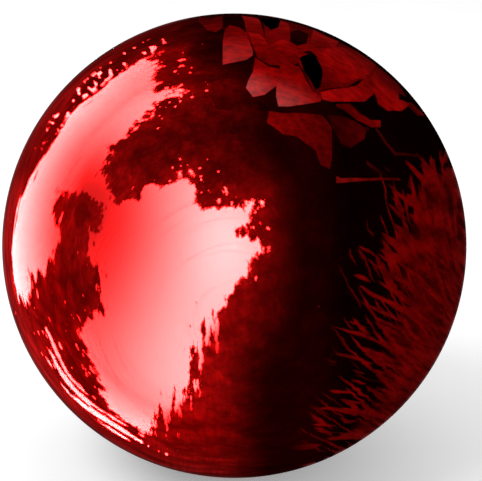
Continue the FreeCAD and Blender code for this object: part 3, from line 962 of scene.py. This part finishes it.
def set_attributes(data, numbers, vectors):
    """Stores numbers and flattened vectors for the points of a mesh, each list under its label."""
    for label, values in numbers.items():
        data.attributes.new(label, "FLOAT", "POINT").data.foreach_set("value", values)
    for label, values in vectors.items():
        data.attributes.new(label, "FLOAT_VECTOR", "POINT").data.foreach_set("vector", values)


def card_material():
    """Painted reflection: glowing cards a little uneven in tone, painted brightest and palest at the tip."""
    nodes = Nodes("painted_reflection_card")
    here = nodes.here()
    strength, pale, length = (nodes.attribute(label) for label in ("strength", "pale", "length"))
    away = nodes.add("ShaderNodeVectorMath", {0: here, 1: nodes.attribute("tip", "Vector")},
                     operation="DISTANCE").outputs["Value"]
    near = nodes.span(nodes.math("DIVIDE", away, length), 0.0, 0.9, 1.0, 0.0)
    uneven = nodes.span(nodes.noise(here, 9.0, 5.0, 0.65), 0.3, 0.7, 0.6, 1.4)
    # Painted highlight: each card glows brighter and paler towards its tip.
    shade = nodes.plus(0.55, nodes.times(near, 0.75))
    strength = nodes.times(nodes.times(strength, uneven), shade)
    pale = nodes.times(pale, nodes.times(near, near))
    other = nodes.plus(nodes.times(strength, 0.3), pale)
    colour = nodes.add("ShaderNodeCombineColor", {"Red": strength, "Green": other, "Blue": other})
    lit = nodes.add("ShaderNodeEmission", {"Color": colour.outputs[0], "Strength": nodes.before_diffuse()})
    return nodes.end(lit.outputs[0])


def make_cards():
    """Flat glowing cards in front of the dome, seen only in mirrors as painted reflections, laid out as the
    dome is.
    """
    places, faces, tips = [], [], []
    values = {"strength": [], "pale": [], "length": []}
    for number, (tone, pale, picks) in enumerate(CARDS):
        outline = [Vector(disc_spot(*pick)) for pick in picks]
        first = len(places)
        for corner in outline:
            point, direction = mirrored_ray(*corner)
            places.append(point.lerp(on_dome(point, direction), CARD_REACH - CARD_SPACING * number))
        length = max((spot - places[first]).length for spot in places[first:])
        for label, value in (("strength", card_strength(tone)), ("pale", pale), ("length", length)):
            values[label] += [value] * len(outline)
        tips += list(places[first]) * len(outline)
        flat = [corner.to_3d() for corner in outline]
        faces += [[first + index for index in triangle] for triangle in tessellate_polygon([flat])]
    data = bpy.data.meshes.new("painted_reflection_cards")
    data.from_pydata(places, [], faces)
    data.materials.append(card_material())
    set_attributes(data, values, {"tip": tips})
    show_in_mirrors_only("painted_reflection_cards", data)


def make_dome():
    """What the mirror shows: a painted reflection, a glowing dome and floor sheet that only reflections see.

    Its points are laid out by where they show in the ball from the camera, so that each painted
    softbox reflection keeps the outline given for it.
    """
    wide, high, fill = 288, 150, 24
    # The last row, in degrees round the ball from the disc's centre, is just inside the limb.
    outermost = 89.2
    disc = [(0.0, 0.0)] * wide
    for row in range(1, high):
        radius = math.sin(math.radians(outermost * row / (high - 1)))
        disc += [(radius * math.cos(math.tau * column / wide), radius * math.sin(math.tau * column / wide))
                 for column in range(wide)]
    rays = [mirrored_ray(*point) for point in disc]
    places = [on_dome(*ray) for ray in rays]
    aims = numpy.array([ray[1] for ray in rays])
    spots = numpy.array(disc)
    inside = numpy.maximum.reduce([
        softbox_reflection_field(spots, aims, WIDE_SOFTBOX_REFLECTION),
        softbox_reflection_field(spots, aims, TALL_SOFTBOX_REFLECTION),
        strip_field(spots, aims),
    ])
    values = {
        "inside": list(inside),
        "light": [softbox_reflection_glow(*point) for point in disc],
        "screen": [screen_reflection_glow(*point) for point in disc],
        "streaks": [streak_start(*point) for point in disc],
        "fan": [math.atan2(point[1] - FAN_CENTRE[1], FAN_CENTRE[0] - point[0]) for point in disc],
        "far": [math.dist(point, FAN_CENTRE) for point in disc],
    }
    flat_spots = [number for point in disc for number in (*point, 0.0)]
    aims = [Vector(aim) for aim in aims]
    # The ball hides some floor behind it from the camera's rays, and rings fill that in.
    rim = places[-wide:]
    rim_aims = aims[-wide:]
    rim_values = {label: numbers[-wide:] for label, numbers in values.items()}
    middle = sum(rim, Vector()) / wide
    settled = {"inside": -1.0, "light": 1.0, "screen": 0.16, "streaks": 0.0, "fan": 0.0, "far": 1.0}
    for row in range(1, fill + 1):
        share = row / fill
        for column in range(wide):
            spot = rim[column].lerp(middle, share)
            spot.z = min(spot.z, ABOVE_FLOOR)
            places.append(spot)
            aim = rim_aims[column].lerp((spot - CENTRE).normalized(), ease(share, 0.0, 0.3))
            aims.append(aim.normalized())
            for label, numbers in values.items():
                blend = ease(share, 0.0, 0.35)
                numbers.append(rim_values[label][column] * (1 - blend) + settled[label] * blend)
    faces = [
        (row * wide + column, row * wide + (column + 1) % wide,
         (row + 1) * wide + (column + 1) % wide, (row + 1) * wide + column)
        for row in range(high + fill - 1) for column in range(wide)
    ]
    data = bpy.data.meshes.new("painted_reflection_dome")
    data.from_pydata(places, [], faces)
    data.materials.append(dome_material())
    flat_spots += [0.0] * (3 * len(places) - len(flat_spots))
    flat_aims = [number for aim in aims for number in aim]
    set_attributes(data, values, {"aim": flat_aims, "spot": flat_spots})
    show_in_mirrors_only("painted_reflection_dome", data)


FLOOR_REACH = (0.022, 0.06, 0.15, 0.4, 1.2, 4.0, 12.0, 20.0)


def make_floor():
    """Pale floor round the foot, seen from above only, so that the underside can be looked at."""
    mesh = bmesh.new()
    turn_runs(mesh, [([(radius, 0.0) for radius in FLOOR_REACH], 0)], FLOOR_AROUND)
    for face in mesh.faces:
        face.normal_update()
        if face.normal.z < 0:
            face.normal_flip()
    data = bpy.data.meshes.new("floor")
    mesh.to_mesh(data)
    mesh.free()
    nodes = Nodes("pale_floor")
    mottle = nodes.span(nodes.noise(nodes.here(), 6.0, 4.0, 0.6), 0.3, 0.7)
    colour = nodes.mix(mottle, (0.86, 0.86, 0.86, 1), (0.88, 0.88, 0.88, 1))
    surface = nodes.add("ShaderNodeBsdfDiffuse", {"Color": colour})
    lift = nodes.times(nodes.seen_directly(), 0.3)
    glow = nodes.add("ShaderNodeEmission", {"Color": (1, 1, 1, 1), "Strength": lift})
    lit = nodes.add("ShaderNodeAddShader", {0: surface.outputs[0], 1: glow.outputs[0]})
    below = nodes.add("ShaderNodeNewGeometry").outputs["Backfacing"]
    data.materials.append(nodes.end(nodes.cleared(below, lit.outputs[0])))
    add_object("floor", data)


def make_world():
    """White background for what sees it directly or mirrored, and plain soft light for the rest."""
    world = bpy.data.worlds.new("studio")
    world.use_nodes = True
    world.node_tree.nodes.clear()
    nodes = Nodes("studio", world.node_tree)
    strength = nodes.plus(0.72, nodes.times(nodes.seen_directly(), 0.28))
    background = nodes.add("ShaderNodeBackground", {"Color": (1, 1, 1, 1), "Strength": strength})
    nodes.add("ShaderNodeOutputWorld", {"Surface": background.outputs[0]})
    bpy.context.scene.world = world


def make_lamp(name, location, aim, size, power):
    data = bpy.data.lights.new(name, "AREA")
    data.shape = "DISK"
    data.size = size
    data.energy = power
    lamp = add_object(name, data)
    lamp.location = location
    lamp.rotation_euler = (Vector(aim) - Vector(location)).to_track_quat("-Z", "Y").to_euler()
    lamp.visible_glossy = False
    lamp.visible_camera = False


def make_studio():
    make_world()
    make_floor()
    make_lamp("key", location=(-1.5, -1.1, 2.2), aim=CENTRE, size=1.8, power=40.0)
    make_dome()
    make_cards()


def main():
    scene = bpy.context.scene
    scene.view_settings.view_transform = "Standard"
    make_camera()
    red = red_mirror_material()
    turned = steel_material("turned_steel", (0.56, 0.56, 0.57, 1), (0.42, 0.42, 0.43, 1), 5200.0, 0.3)
    rolled = steel_material("rolled_steel", (0.52, 0.52, 0.52, 1), (0.40, 0.40, 0.41, 1), 1800.0, 0.38)
    weld = weld_material()
    make_upper_shell(red)
    make_lower_shell(red)
    make_seam_bead(red)
    make_boss(turned)
    make_plug(rubber_material())
    make_weld("boss_fillet_weld", "boss_weld", BOSS_FLANGE_RADIUS, PLATE_TOP, 40, weld)
    make_weld("plate_fillet_weld", "plate_weld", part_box("reinforcing_plate")[1].x,
              RECESS_DEPTH + SHEET, 72, weld)
    for node in ("seam_backing_ring", "reinforcing_plate"):
        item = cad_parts[node]
        item.data.materials.clear()
        item.data.materials.append(rolled)
    make_studio()


main()
